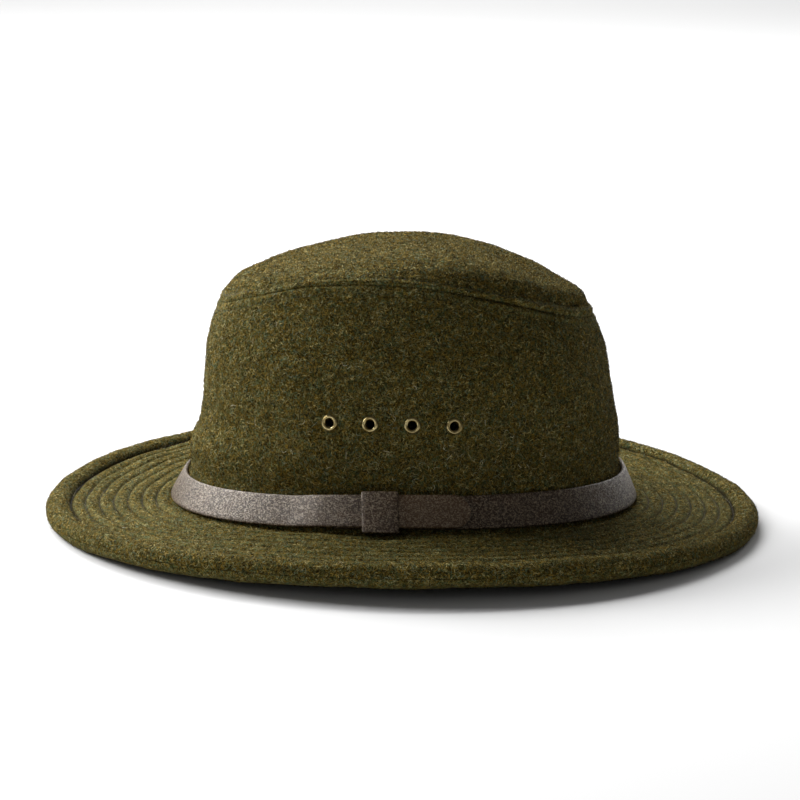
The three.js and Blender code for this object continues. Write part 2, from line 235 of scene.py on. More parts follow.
def crown_sections(at):
    """Smooth curve through the crown's sections: 0 is the foot, SEAM_AT the seam, CROWN_END the centre."""
    at = np.asarray(at, dtype=float)
    start = np.clip(np.floor(at).astype(int), 0, CROWN_END - 1)
    share = (at - start)[:, None]
    before, low, high, after = (CROWN[np.clip(start + step, 0, CROWN_END)] for step in (-1, 0, 1, 2))
    leave = (high - before) / 2
    arrive = (after - low) / 2
    bend = 2 * (low - high) + leave + arrive
    ease = 3 * (high - low) - 2 * leave - arrive
    return low + share * (leave + share * (ease + share * bend))


def crown_grid(at, angles):
    return oval(crown_sections(at)[:, None, :], angles[None, :])


def turn(count):
    return np.arange(count) * (2 * math.pi / count)


def unit(vectors):
    return vectors / np.maximum(np.linalg.norm(vectors, axis=-1, keepdims=True), TINY)


def outward(points):
    """Normals of a grid whose rows climb or run inward and whose columns go round the hat."""
    along = np.roll(points, -1, axis=1) - np.roll(points, 1, axis=1)
    across = np.gradient(points, axis=0)
    return unit(np.cross(along, across))


def lengths_from(points, row):
    """Distance along each column from one row, negative before it."""
    steps = np.linalg.norm(np.diff(points, axis=0), axis=-1)
    total = np.concatenate([np.zeros((1, points.shape[1])), np.cumsum(steps, axis=0)])
    return total - total[row]


def waves(points, size, seed, count=14):
    """Soft unevenness between about -1 and 1, with hollows and swells about size across."""
    source = np.random.default_rng(seed)
    directions = unit(source.normal(size=(count, 3)))
    numbers = 2 * math.pi / (size * source.uniform(*WAVE_LENGTHS, count))
    phases = source.uniform(0, 2 * math.pi, count)
    total = np.zeros(points.shape[:-1])
    for direction, number, phase in zip(directions, numbers, phases):
        total += np.sin(points @ direction * number + phase)
    return total / math.sqrt(count)


def soft_relief(points, layers):
    """Unevenness of soft cloth, summed over layers of depth, size and seed."""
    return sum(depth * waves(points, size, seed) for depth, size, seed in layers)


def smooth_step(share):
    share = np.clip(share, 0, 1)
    return share * share * (3 - 2 * share)


def bump_at(distance, centre, reach):
    return np.exp(-((distance - centre) / reach) ** 2)


# Meshes

def new_object(name, vertices, faces, material):
    mesh = bpy.data.meshes.new(name)
    mesh.from_pydata(vertices.tolist(), [], faces if isinstance(faces, list) else faces.tolist())
    mesh.polygons.foreach_set("use_smooth", [True] * len(mesh.polygons))
    mesh.materials.append(material)
    piece = bpy.data.objects.new(name, mesh)
    bpy.context.scene.collection.objects.link(piece)
    return piece


def grid_faces(rows, columns, joined_rows, joined_columns):
    """Quads of a grid of points, row by row; a joined side closes on itself."""
    row = np.arange(rows if joined_rows else rows - 1)[:, None]
    column = np.arange(columns if joined_columns else columns - 1)[None, :]
    next_row = (row + 1) % rows
    next_column = (column + 1) % columns
    corners = [row * columns + column, row * columns + next_column,
               next_row * columns + next_column, next_row * columns + column]
    return np.stack(np.broadcast_arrays(*corners), axis=-1).reshape(-1, 4)


def face_outward(piece):
    shape = bmesh.new()
    shape.from_mesh(piece.data)
    bmesh.ops.recalc_face_normals(shape, faces=shape.faces)
    shape.to_mesh(piece.data)
    shape.free()


def wall(name, rings, material):
    """Closed wall: rings of points run up its outside and down its inside."""
    rows, columns = rings.shape[:2]
    piece = new_object(name, rings.reshape(-1, 3), grid_faces(rows, columns, True, True), material)
    face_outward(piece)
    return piece


def capped(name, rings, material):
    """Closed body from rings whose first and last rings are filled to their centres."""
    rows, columns = rings.shape[:2]
    faces = grid_faces(rows, columns, False, True).tolist()
    hubs = np.stack([rings[0].mean(axis=0), rings[-1].mean(axis=0)])
    for hub, row in ((rows * columns, 0), (rows * columns + 1, rows - 1)):
        ring = [row * columns + column for column in range(columns)]
        faces += [[hub, a, b] for a, b in zip(ring, ring[1:] + ring[:1])]
    piece = new_object(name, np.concatenate([rings.reshape(-1, 3), hubs]), faces, material)
    face_outward(piece)
    return piece


# Crown

def turned_from(points, degrees):
    """Degrees round the hat from a direction, at each point."""
    half_length, half_width = SECTIONS["seam"][:2]
    turned = np.degrees(np.arctan2(points[..., 1] / half_width, points[..., 0] / half_length))
    return (turned - degrees + 180) % 360 - 180


def crown_relief(points, seam_row, dents):
    """How far the cloth stands out from the plain crown: seam, seam allowance and softness."""
    away = lengths_from(points, seam_row)
    uneven = SEAM_UNEVEN_MEAN + SEAM_UNEVEN_SPREAD * waves(points, SEAM_UNEVEN_SIZE, SEAM_UNEVEN_SEED)
    tight = np.exp(-(turned_from(points, CREASE_CENTRE_DEG) / CREASE_REACH_DEG) ** 2)
    tight = CREASE_LEAST + (1 - CREASE_LEAST) * tight
    relief = -SEAM_CREASE * tight * uneven * bump_at(away, *CREASE_AT)
    relief += SEAM_PUFF * uneven * bump_at(away, *LOWER_PUFF_AT)
    relief += SEAM_PUFF * UPPER_PUFF * uneven * bump_at(away, *UPPER_PUFF_AT)
    ledge = np.exp(-(turned_from(points, LEDGE_CENTRE_DEG) / LEDGE_REACH_DEG) ** 4)
    relief += LEDGE_DEPTH * ledge * bump_at(away, *LEDGE_AT) * (away >= 0)
    fold = np.exp(-(turned_from(points, FOLD_CENTRE_DEG) / FOLD_REACH_DEG) ** 4)
    relief -= FOLD_DEPTH * fold * bump_at(away, *FOLD_AT)
    relief += FOLD_SWELL * FOLD_DEPTH * fold * bump_at(away, *FOLD_SWELL_AT)
    facing_side = np.sin(np.radians(turned_from(points, 0))) ** 2
    relief -= SHOULDER_EASE * facing_side * bump_at(away, *EASE_AT) * smooth_step(away / EASE_START)
    relief -= TOPSTITCH_DEPTH * bump_at(away, -TOPSTITCH_BELOW, TOPSTITCH_REACH)
    relief -= TOPSTITCH_DEPTH * bump_at(away, TOPSTITCH_ABOVE, TOPSTITCH_REACH)
    return relief + dents * soft_relief(points, CROWN_SOFTNESS)


def rows_over(spans):
    """Places of the rows of points up the crown, from spans that follow each other."""
    return np.concatenate([np.linspace(*span)[min(k, 1):] for k, span in enumerate(spans)])


def crown_side():
    angles = turn(COLUMNS_ROUND)
    at = rows_over(SIDE_ROWS)
    plain = crown_grid(at, angles)
    free = np.clip((plain[..., 2] - STRAP_COVERS) / SOFT_ABOVE_STRAP, 0, 1) * off_eyelets(plain)
    skin = plain + outward(plain) * crown_relief(plain, len(at) - 1, free)[..., None]
    inside_at = np.linspace(SEAM_AT, 0, SIDE_INSIDE_ROWS)
    inside = crown_grid(inside_at, angles)
    inside = inside - outward(inside[::-1])[::-1] * CLOTH
    piece = wall("crown_side_cloth", np.concatenate([skin, inside]), WOOL)
    cut_eyelet_holes(piece)
    return piece, skin


def crown_tip():
    angles = turn(COLUMNS_ROUND)
    at = rows_over(TIP_ROWS)
    plain = crown_grid(at, angles)
    plain[..., 2] += GAP
    fade = np.clip((CROWN_END - at) / TIP_FADE, 0, 1)[:, None]
    relief = crown_relief(plain, 0, fade)
    skin = plain + outward(plain) * relief[..., None]
    inside_at = np.linspace(CROWN_END, SEAM_AT, TIP_INSIDE_ROWS)
    inside = crown_grid(inside_at, angles)
    inside[..., 2] += GAP
    inside = inside - outward(inside[::-1])[::-1] * CLOTH
    piece = capped("crown_tip_cloth", np.concatenate([skin[::-1], inside[::-1]]), WOOL)
    return piece, skin


def eyelet_place(side, k):
    """Centre of an eyelet on the cloth, and three directions: round the hat, up it and out of it."""
    angle = -side * math.radians(EYELET_FIRST_DEG + k * EYELET_STEP_DEG)
    at = EYELET_SECTION + k * EYELET_SECTION_STEP
    around = crown_grid([at], np.array([angle - TANGENT_STEP, angle + TANGENT_STEP]))[0]
    ladder = crown_grid([at - TANGENT_STEP, at + TANGENT_STEP], np.array([angle]))[:, 0]
    along = unit(around[1] - around[0])
    out = unit(np.cross(along, ladder[1] - ladder[0]))
    centre = crown_grid([at], np.array([angle]))[0, 0]
    return centre, along, np.cross(out, along), out


def eyelet_places():
    """Names and places of all the eyelets, front to rear; side is -1 for the wearer's left."""
    return [(f"{side_name}_{k + 1}", eyelet_place(side, k))
            for side, side_name in ((-1, "left"), (1, "right")) for k in range(EYELETS_A_SIDE)]


def off_eyelets(points):
    """0 where an eyelet presses the cloth flat, 1 away from all of them."""
    near = np.min([np.linalg.norm(points - place[0], axis=-1) for _, place in eyelet_places()], axis=0)
    return np.clip((near - EYELET_PRESS) / EYELET_PRESS_FADE, 0, 1)


def lathe(profile, place, sides):
    """Rings of a turned shape: profile rows are radius and height above the cloth."""
    centre, along, up, out = place
    angles = turn(sides)
    radial = np.cos(angles)[:, None] * along + np.sin(angles)[:, None] * up
    return np.stack([centre + radius * radial + height * out for radius, height in profile])


def cut_eyelet_holes(piece):
    radius = EYELET_BARREL + GAP
    profile = [(radius, -HOLE_REACH), (radius, HOLE_REACH)]
    drills = []
    for _, place in eyelet_places():
        drills.append(capped("drill", lathe(profile, place, HOLE_SIDES), WOOL))
    for drill in drills:
        cut = piece.modifiers.new("hole", "BOOLEAN")
        cut.operation = "DIFFERENCE"
        cut.solver = "EXACT"
        cut.object = drill
    apply_modifiers(piece)
    for drill in drills:
        bpy.data.objects.remove(drill)


def apply_modifiers(piece):
    seen = piece.evaluated_get(bpy.context.evaluated_depsgraph_get())
    finished = bpy.data.meshes.new_from_object(seen)
    piece.modifiers.clear()
    piece.data = finished


def eyelets():
    back = -CLOTH - GAP
    crest = (EYELET_BORE + EYELET_FLANGE) / 2
    half = (EYELET_FLANGE - EYELET_BORE) / 2
    arc = [(crest - half * math.cos(t), GAP + EYELET_CREST * math.sin(t))
           for t in np.linspace(0, math.pi, EYELET_ARC_POINTS)]
    barrel = [(EYELET_FLANGE - EYELET_LIP, GAP), (EYELET_BARREL, GAP),
              (EYELET_BARREL, back), (EYELET_BACK, back)]
    curl = [(EYELET_BACK, back - EYELET_LIP), (EYELET_BARREL, back - 2 * EYELET_LIP),
            (EYELET_BORE, back - EYELET_LIP)]
    profile = arc + barrel + curl
    pieces = []
    for name, (centre, along, up, out) in eyelet_places():
        sunk = (centre - EYELET_SUNK * out, along, up, out)
        eyelet = wall(f"eyelet_ring_{name}", lathe(profile, sunk, EYELET_SIDES), BRASS)
        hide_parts(f"eyelet_{name}")
        pieces.append(eyelet)
    return pieces


# Brim

def brim_line(angles, inward, rise):
    """Points of the brim by how far inward of the roll's centre and how far above it they lie."""
    roll = np.array(SECTIONS["brim_roll"])
    rows = np.repeat(roll[None, :], len(inward), axis=0)
    rows[:, 0] -= inward
    rows[:, 1] -= inward
    points = oval(rows[:, None, :], angles[None, :])
    points[..., 2] += rise
    return points


def brim_base(angles, inward):
    """Middle height of the quilted brim between the roll and the crown, as a rise above the roll."""
    roll = oval(np.array(SECTIONS["brim_roll"]), angles)[:, 2]
    inner = oval(np.array(SECTIONS["brim_inner"]), angles)[:, 2]
    share = ((inward - LAYERS_PART) / (BRIM_WIDTH - LAYERS_PART))[:, None]
    return BRIM_RISE + np.clip(share, *SLOPE_ENDS) * (inner - roll - BRIM_RISE)[None, :]


def quilting(inward):
    """Cross-section of the cloth between rows of stitching: full in the middle, tight at the thread."""
    place = (inward - ROLL_GROOVE) / ROW_SPACING
    across = 2 * (place - np.floor(place)) - 1
    full = (1 - np.abs(across) ** QUILT_POWER) ** (1 / QUILT_POWER)
    depth = np.where(place < 0.5, GROOVE_DEPTH, ROW_DEPTH)
    return depth * (full - 1) + QUILT_PUFF * full


def roll_profile(inward, reach, power):
    return ROLL_RADIUS * np.clip(1 - np.abs(inward / reach) ** power, 0, 1) ** (1 / power)


def brim_rows():
    arc = -ROLL_RADIUS * np.cos(np.linspace(0, math.pi / 2, ROLL_ARC_ROWS))
    near = np.linspace(0, ROLL_GROOVE, ROLL_INNER_ROWS)[1:]
    quilt = np.arange(ROLL_GROOVE, BRIM_WIDTH, ROW_SPACING / ROWS_BETWEEN_STITCHING)[1:]
    return np.concatenate([arc, near, quilt, [BRIM_WIDTH]])


def stitched_rows(inward, reach):
    """1 on a row of the brim's stitching, 0 away from it."""
    rows = ROLL_GROOVE + np.arange(ROW_COUNT)[:, None] * ROW_SPACING
    return np.max(bump_at(inward[None, :], rows, reach), axis=0)


def brim_face(side):
    """Visible face of one layer, side 1 above and -1 below, from the outermost edge to the crown."""
    angles = turn(BRIM_COLUMNS)
    inward = brim_rows()
    outer_rise = side * np.sqrt(np.clip(ROLL_RADIUS ** 2 - inward ** 2, 0, None))
    inner_rise = side * roll_profile(inward, *ROLL_INNER[side])
    roll_rise = np.where(inward < 0, outer_rise, inner_rise)[:, None]
    base = brim_base(angles, inward) - (BRIM_THICKNESS if side < 0 else 0)
    flat = base + side * quilting(inward)[:, None]
    if side > 0:
        joined = np.where((inward < ROLL_GROOVE)[:, None], np.maximum(roll_rise, flat - ROLL_BLEND), flat)
    else:
        joined = np.where((inward < ROLL_GROOVE)[:, None], np.minimum(roll_rise, flat + ROLL_BLEND), flat)
    rise = np.where((inward <= 0)[:, None], roll_rise, joined)
    points = brim_line(angles, inward, rise)
    inner = oval(np.array(SECTIONS["brim_inner"]), angles)
    points[-1, :, :2] = inner[:, :2]
    settle = np.clip((inward + ROLL_RADIUS) / EDGE_SETTLE, 0, 1)[:, None]
    points[..., 2] += side * soft_relief(points, BRIM_SOFTNESS) * settle
    return points


def brim_layer(name, side):
    face = brim_face(side)
    angles = turn(BRIM_COLUMNS)
    inward = np.linspace(BRIM_WIDTH, LAYERS_PART, BRIM_BACK_ROWS)
    join = brim_base(angles, inward) - BRIM_THICKNESS / 2 + side * GAP / 2
    back = brim_line(angles, inward, join)
    inner = oval(np.array(SECTIONS["brim_inner"]), angles)
    back[0, :, :2] = inner[:, :2]
    edge = brim_line(angles, np.array([-ROLL_RADIUS + EDGE_INSET]), side * np.array([[GAP / 2]]))
    face[0] = edge[0]
    below_groove = brim_line(angles, np.array([ROLL_GROOVE]), np.array([[side * GAP / 2 + UNDER_GROOVE]]))
    mid = brim_line(angles, np.array([0.0]), np.array([[side * GAP / 2]]))
    rings = np.concatenate([face, back, below_groove, mid])
    rings[..., 2] = np.maximum(rings[..., 2], 0)
    piece = wall(name, rings, WOOL)
    # Painted shade: the cloth colour darkens on the rows of stitching, and most in the groove inside the
    # roll, where shade falls
    painted_groove_shade = np.zeros(len(rings))
    painted_groove_shade[:len(face)] = np.maximum(ROW_SHADE * stitched_rows(brim_rows(), ROW_SHADE_REACH),
                                     bump_at(brim_rows(), ROLL_GROOVE, GROOVE_SHADE_REACH))
    mark = piece.data.attributes.new(PAINTED_GROOVE_SHADE, "FLOAT", "POINT")
    mark.data.foreach_set("value", np.repeat(painted_groove_shade, BRIM_COLUMNS))
    return piece, face


# Leather strap

def strap_bulge(angle):
    off = np.arctan2(np.sin(angle - math.radians(KEEPER_CENTRE_DEG)),
                     np.cos(angle - math.radians(KEEPER_CENTRE_DEG)))
    share = np.clip(np.abs(off) / math.radians(STRAP_BULGE_DEG), 0, 1)
    return STRAP_BULGE * (1 + np.cos(math.pi * share)) / 2


def strap_point(angle, share, out):
    """A point by how far up the strap it lies (0 to 1) and how far out from its first layer."""
    section = STRAP_OUTER_LOW + share * (STRAP_OUTER_TOP - STRAP_OUTER_LOW)
    along = oval(section, angle + TANGENT_STEP) - oval(section, angle - TANGENT_STEP)
    up = oval(STRAP_OUTER_TOP, angle) - oval(STRAP_OUTER_LOW, angle)
    normal = unit(np.cross(along, up))
    return oval(section, angle) + normal * (out + strap_bulge(angle))


def strap_section(width, inner, outer):
    """Cross-section of a strip with rounded edges: share up the strap and distance out."""
    t = turn(STRAP_RING_POINTS) + math.pi / STRAP_RING_POINTS
    share = 0.5 + width / 2 * np.sign(np.cos(t)) * np.abs(np.cos(t)) ** STRAP_EDGE
    middle, half = (inner + outer) / 2, (outer - inner) / 2
    out = middle + half * np.sign(np.sin(t)) * np.abs(np.sin(t)) ** STRAP_EDGE
    return share, out


def band_strap():
    span = 360 + STRAP_TIP_DEG - STRAP_START_DEG
    tip = math.degrees(STRAP_WIDTH / 2 / SECTIONS["band_middle"][0])
    climb_start = STRAP_CLIMB_END_DEG - STRAP_CLIMB_DEG
    straight = np.linspace(0, span - tip, STRAP_STATIONS)
    rounded = span - tip + tip * np.sin(np.linspace(0, math.pi / 2, STRAP_TIP_STATIONS)[1:])
    stations = np.concatenate([straight, rounded])
    rings = []
    for turned in stations:
        past = max(turned - (span - tip), 0) / tip
        width = math.sqrt(max(1 - past * past, STRAP_TIP_LEAST))
        angle = math.radians(STRAP_START_DEG + turned)
        layer = smooth_step((turned - climb_start) / STRAP_CLIMB_DEG) * (LEATHER + GAP)
        share, out = strap_section(width, layer - LEATHER, layer)
        rings.append([strap_point(angle, s, o) for s, o in zip(share, out)])
    strap = capped("band_strap_leather", np.array(rings), LEATHER_BROWN)
    # Painted light: the tab, the strap's last TAB_DEG degrees, is painted paler in place of the light it
    # catches
    rubbed_crown_and_lit_tab = np.repeat(smooth_step((stations - span + TAB_DEG) / TAB_FADE_DEG), len(rings[0]))
    tab_light = strap.data.attributes.new(PAINTED_TAB_LIGHT, "FLOAT", "POINT")
    tab_light.data.foreach_set("value", np.concatenate([rubbed_crown_and_lit_tab, [0.0, 1.0]]))
    return strap


def keeper_corners(leather):
    back = -LEATHER - GAP - leather
    front = LEATHER + 2 * GAP + leather
    low = -GAP - leather
    top = STRAP_WIDTH + GAP + leather
    return np.array([(low, back), (low - KEEPER_DROOP, front), (top, front), (top, back)])


def rounded_loop(corners, radius):
    """A closed outline with its corners rounded, as points of up and out."""
    points = []
    for k in range(len(corners)):
        before, here, after = corners[k - 1], corners[k], corners[(k + 1) % len(corners)]
        start = here + unit(before - here) * radius
        end = here + unit(after - here) * radius
        for t in np.linspace(0, 1, KEEPER_CORNER_STEPS):
            points.append((1 - t) ** 2 * start + 2 * t * (1 - t) * here + t ** 2 * end)
        points += [end + (after + unit(here - after) * radius - end) * t for t in (0.25, 0.5, 0.75)]
    return np.array(points)


def keeper_point(along, up, out):
    """Point of the keeper by its distance along the strap: both its ends are parallel and lean a little."""
    share = up / STRAP_WIDTH
    radius = STRAP_OUTER_LOW[0] + share * (STRAP_OUTER_TOP[0] - STRAP_OUTER_LOW[0]) + out
    leaning = along + KEEPER_LEAN * (0.5 - share)
    return strap_point(math.radians(KEEPER_CENTRE_DEG) + leaning / radius, share, out)


def band_keeper():
    outer = rounded_loop(keeper_corners(KEEPER_LEATHER), KEEPER_OUTER_CORNER)
    inner = rounded_loop(keeper_corners(0), KEEPER_INNER_CORNER)
    half = KEEPER_LENGTH / 2
    between = np.linspace(-half, half, KEEPER_MIDDLE_STATIONS + 4)[2:-2]
    stations = np.concatenate([-half + KEEPER_END_STEPS, between, half - KEEPER_END_STEPS[::-1]])
    dips = np.concatenate([KEEPER_END_DIPS, np.zeros(KEEPER_MIDDLE_STATIONS), KEEPER_END_DIPS[::-1]])
    middle = (outer + inner) / 2
    rings = []
    for loop, order in ((outer, 1), (inner, -1)):
        for along, dip in list(zip(stations, dips))[::order]:
            eased = loop + unit(middle - loop) * dip
            rings.append([keeper_point(along, up, out) for up, out in eased])
    return wall("band_keeper_leather", np.array(rings), LEATHER_BROWN)


# Thread

def stitch_row(path, normals, raised):
    """Short stitches along a closed line of points: each is a bead of thread, tapered at its ends."""
    step = np.linalg.norm(np.roll(path, -1, axis=0) - path, axis=-1)
    total = np.concatenate([[0], np.cumsum(step)])
    count = int(total[-1] / STITCH_PITCH)
    starts = np.arange(count) * total[-1] / count
    closed = np.concatenate([path, path[:1]])
    closed_normals = np.concatenate([normals, normals[:1]])

    def read(values, lengths):
        lengths = lengths % total[-1]
        return np.stack([np.interp(lengths, total, values[:, axis]) for axis in range(3)], axis=-1)

    angles = (turn(STITCH_SIDES) + math.pi / 4)[None, :, None]
    rings = []
    for place, width, rise in STITCH_RINGS:
        lengths = starts + place * STITCH_LENGTH
        centre = read(closed, lengths)
        out = unit(read(closed_normals, lengths))
        ahead = unit(read(closed, lengths + STITCH_REACH) - read(closed, lengths - STITCH_REACH))
        across = np.cross(out, ahead)
        centre = centre + out * (raised + rise * THREAD_RADIUS)
        spokes = np.cos(angles) * across[:, None, :] + np.sin(angles) * out[:, None, :]
        rings.append(centre[:, None, :] + width * THREAD_RADIUS * spokes)
    vertices = np.stack(rings, axis=1)
    size_each = len(rings) * STITCH_SIDES
    first_end = np.arange(STITCH_SIDES)[::-1]
    last_end = np.arange(size_each - STITCH_SIDES, size_each)
    faces = np.concatenate([grid_faces(len(rings), STITCH_SIDES, False, True), [first_end, last_end]])
    offsets = np.arange(count)[:, None, None] * size_each
    return vertices.reshape(-1, 3), (faces[None] + offsets).reshape(-1, 4)


def join_meshes(name, parts, material):
    vertices, faces, offset = [], [], 0
    for points, corners in parts:
        vertices.append(points)
        faces.append(corners + offset)
        offset += len(points)
    return new_object(name, np.concatenate(vertices), np.concatenate(faces), material)


def crown_thread(side_skin, tip_skin):
    parts = []
    for skin, row, distance in ((side_skin, len(side_skin) - 1, -TOPSTITCH_BELOW),
                                (tip_skin, 0, TOPSTITCH_ABOVE)):
        away = lengths_from(skin, row)
        nearest = np.abs(away - distance).argmin(axis=0)
        columns = np.arange(skin.shape[1])
        path = skin[nearest, columns]
        parts.append(stitch_row(path, outward(skin)[nearest, columns], CROWN_THREAD_LIFT))
    return join_meshes("crown_topstitching", parts, THREAD)


def brim_thread(name, face, side):
    inward = brim_rows()
    normals = np.zeros_like(face)
    normals[..., 2] = side
    parts = []
    for row in range(ROW_COUNT):
        nearest = np.abs(inward - ROLL_GROOVE - row * ROW_SPACING).argmin()
        parts.append(stitch_row(face[nearest], normals[nearest], BRIM_THREAD_LIFT))
    return join_meshes(name, parts, THREAD)


# Wool fibres. A fibre is traced from -0.5 to 0.5 along its length.
FIBRE_TILT = 0.5
FIBRE_ARCH = 3.4
FIBRE_TAPER = 0.5
FIBRE_WIDEST_AT = -0.1
FIBRE_OFF_CLOTH = 0.03 * MM
FIBRE_OFF_FLOOR = 0.05 * MM

# Bare strips in the nap, where a seam or stitching presses it down
BARE_SHARE = 0.985
BARE_FROM = 0.45
BARE_FADE = 0.3
BRIM_BARE_REACH = 2.4 * MM
CROWN_BARE_REACH = 1.8 * MM


def bare_strips(near):
    """1 where the nap is flattened, 0 off it, from how near stitching is."""
    return smooth_step((near - BARE_FROM) / BARE_FADE)


def near_rows(skin, seam_row, places):
    """1 on the rows of stitching, 0 away from them."""
    away = lengths_from(skin, seam_row)
    return bare_strips(np.max([bump_at(away, place, CROWN_BARE_REACH) for place in places], axis=0))


def scatter(skin, count, rows, avoid):
    """Random places on a grid of points, evenly by area, with the way out and a way along the cloth."""
    part = skin[rows]
    normals = outward(part)
    across = np.roll(part, -1, axis=1)[:-1] - part[:-1]
    along = part[1:] - part[:-1]
    area = np.linalg.norm(np.cross(across, along), axis=-1)
    if avoid is not None:
        area = area * (1 - BARE_SHARE * avoid[rows][:-1])
    area = area.ravel()
    chosen = random.choice(len(area), size=count, p=area / area.sum())
    row, column = np.divmod(chosen, part.shape[1])
    next_column = (column + 1) % part.shape[1]
    u = random.uniform(size=(count, 1))
    v = random.uniform(size=(count, 1))

    def blend(values):
        low = values[row, column] * (1 - u) + values[row, next_column] * u
        high = values[row + 1, column] * (1 - u) + values[row + 1, next_column] * u
        return low * (1 - v) + high * v

    place, normal = blend(part), unit(blend(normals))
    clear = np.ones(count, dtype=bool)
    for _, (centre, _, _, _) in eyelet_places():
        clear &= np.linalg.norm(place - centre, axis=1) > EYELET_FLANGE + EYELET_BARE
    place, normal = place[clear], normal[clear]
    ahead = unit(np.cross(normal, unit(random.normal(size=place.shape))))
    return place, normal, ahead


def fibres(name, skin, count, length, width, lift, curl, stations, material, stand=0.0,
           rows=slice(None), flip=1, avoid=None):
    """Flat fibres lying on the cloth in every direction, joined into one mesh; each ends in a point."""
    place, normal, ahead = scatter(skin, count, rows, avoid)
    count = len(place)
    normal = normal * flip
    ahead = unit(ahead + normal * random.uniform(0, 1, (count, 1)) * stand)
    across = np.cross(normal, ahead)
    size = random.uniform(*length, (count, 1))
    bend = random.uniform(-1, 1, (count, 1)) * curl
    high = random.uniform(*lift, (count, 1))
    tilt = random.uniform(-FIBRE_TILT, FIBRE_TILT, (count, 1)) * lift[1]
    flat = unit(across + random.uniform(-FIBRE_TILT, FIBRE_TILT, (count, 1)) * normal)
    wide = random.uniform(*width, (count, 1)) / 2

    def middle(t):
        centre = place + ahead * t * size + across * bend * size * (4 * t * t - 0.5)
        return centre + normal * (high * (1 - FIBRE_ARCH * t * t) + tilt * t * 2 + FIBRE_OFF_CLOTH)

    points = []
    for t in np.linspace(-0.5, 0.5, stations)[:-1]:
        taper = 1 - FIBRE_TAPER * abs(t - FIBRE_WIDEST_AT)
        points += [middle(t) - flat * wide * taper, middle(t) + flat * wide * taper]
    points.append(middle(0.5))
    vertices = np.stack(points, axis=1)
    vertices[..., 2] = np.maximum(vertices[..., 2], FIBRE_OFF_FLOOR)
    size_each = len(points)
    faces = []
    offsets = (np.arange(count) * size_each)[:, None]
    for k in range(0, size_each - 3, 2):
        faces.append(offsets + np.array([[k, k + 1, k + 3, k + 2]]))
    last = offsets + np.array([[size_each - 3, size_each - 2, size_each - 1]])
    quads = np.concatenate(faces).tolist()
    return new_object(name, vertices.reshape(-1, 3), quads + last.tolist(), material)


# Materials. A pixel of the render covers about 0.5 mm of the hat.
# Single wool fibres, 0.02 to 0.04 mm thick, are too fine to show, so the flecks and filaments that stand
# for them are drawn coarser. The grain of the leather is also drawn coarser than it is.
FLECK_SIZE = 1.0 * MM
FLECK_HEIGHT = 0.5 * MM
TINT_SIZE = 2.2 * MM
TINT_HEIGHT = 1.2 * MM
CLOUD_SIZE = 6 * MM
PEBBLE_SIZE = 0.48 * MM
PEBBLE_HEIGHT = 0.12 * MM
GRAIN_SIZE = 0.62 * MM
GRAIN_HEIGHT = 0.24 * MM
DYE_PATCH_SIZE = 9 * MM
TARNISH_SIZE = 3.0 * MM

# Columns: size of the curls, width of the lines in the pattern, seed, colour.
HEATHER_FILAMENTS = (
    (1.9 * MM, 0.030, 0.11, "#7d6a35"),
    (2.3 * MM, 0.026, 0.37, "#55664c"),
    (3.1 * MM, 0.016, 0.73, "#9a9468"),
)

# Node kinds that recur, and the sockets of a colour mix
RAMP = "ShaderNodeValToRGB"
MIX = "ShaderNodeMix"
COLOURS = {"data_type": "RGBA"}
NOISE = "ShaderNodeTexNoise"
BUMP = "ShaderNodeBump"
PRINCIPLED = "ShaderNodeBsdfPrincipled"
SHARE, FIRST, SECOND = 0, 6, 7
MIXED = 2


def linear(code):
    """sRGB hex colour to linear red, green, blue, alpha."""
    parts = [int(code[k:k + 2], 16) / 255 for k in (1, 3, 5)]
    return tuple(p / 12.92 if p <= 0.04045 else ((p + 0.055) / 1.055) ** 2.4 for p in parts) + (1.0,)


def add_node(tree, kind, settings=None, values=None, links=None, stops=None):
    """Adds a node with its settings, socket values and incoming links; stops make up a colour ramp."""
    node = tree.nodes.new(kind)
    for key, value in (settings or {}).items():
        setattr(node.color_ramp if stops else node, key, value)
    for socket, value in (values or {}).items():
        node.inputs[socket].default_value = value
    for socket, source in (links or {}).items():
        tree.links.new(source, node.inputs[socket])
    if stops:
        elements = node.color_ramp.elements
        while len(elements) < len(stops):
            elements.new(1.0)
        for element, (position, colour) in zip(elements, stops):
            element.position = position
            element.color = linear(colour) if isinstance(colour, str) else (colour, colour, colour, 1.0)
    return node


def new_material(name):
    material = bpy.data.materials.new(name)
    material.use_nodes = True
    material.node_tree.nodes.clear()
    return material


def finish_material(material, shader):
    tree = material.node_tree
    add_node(tree, "ShaderNodeOutputMaterial", links={"Surface": shader.outputs["BSDF"]})
    return material


def filaments(tree, place, size, width, seed):
    """Mask of thin curling lines, like single fibres of wool seen in the face of the cloth."""
    moved = add_node(tree, "ShaderNodeVectorMath", {"operation": "ADD"}, {1: (seed, -seed, 0.5 * seed)},
                     {0: place})
    field = add_node(tree, NOISE, values={"Scale": 1 / size, "Detail": 1.0, "Roughness": 0.5,
                     "Distortion": 1.2}, links={"Vector": moved.outputs["Vector"]})
    centred = add_node(tree, "ShaderNodeMath", {"operation": "SUBTRACT"}, {1: 0.5},
                       {0: field.outputs["Fac"]})
    distance = add_node(tree, "ShaderNodeMath", {"operation": "ABSOLUTE"}, links={0: centred.outputs[0]})
    mask = add_node(tree, "ShaderNodeMapRange", values={"From Min": width, "From Max": 0.2 * width,
                    "To Min": 0.0, "To Max": 1.0}, links={"Value": distance.outputs[0]})
    return mask.outputs["Result"]


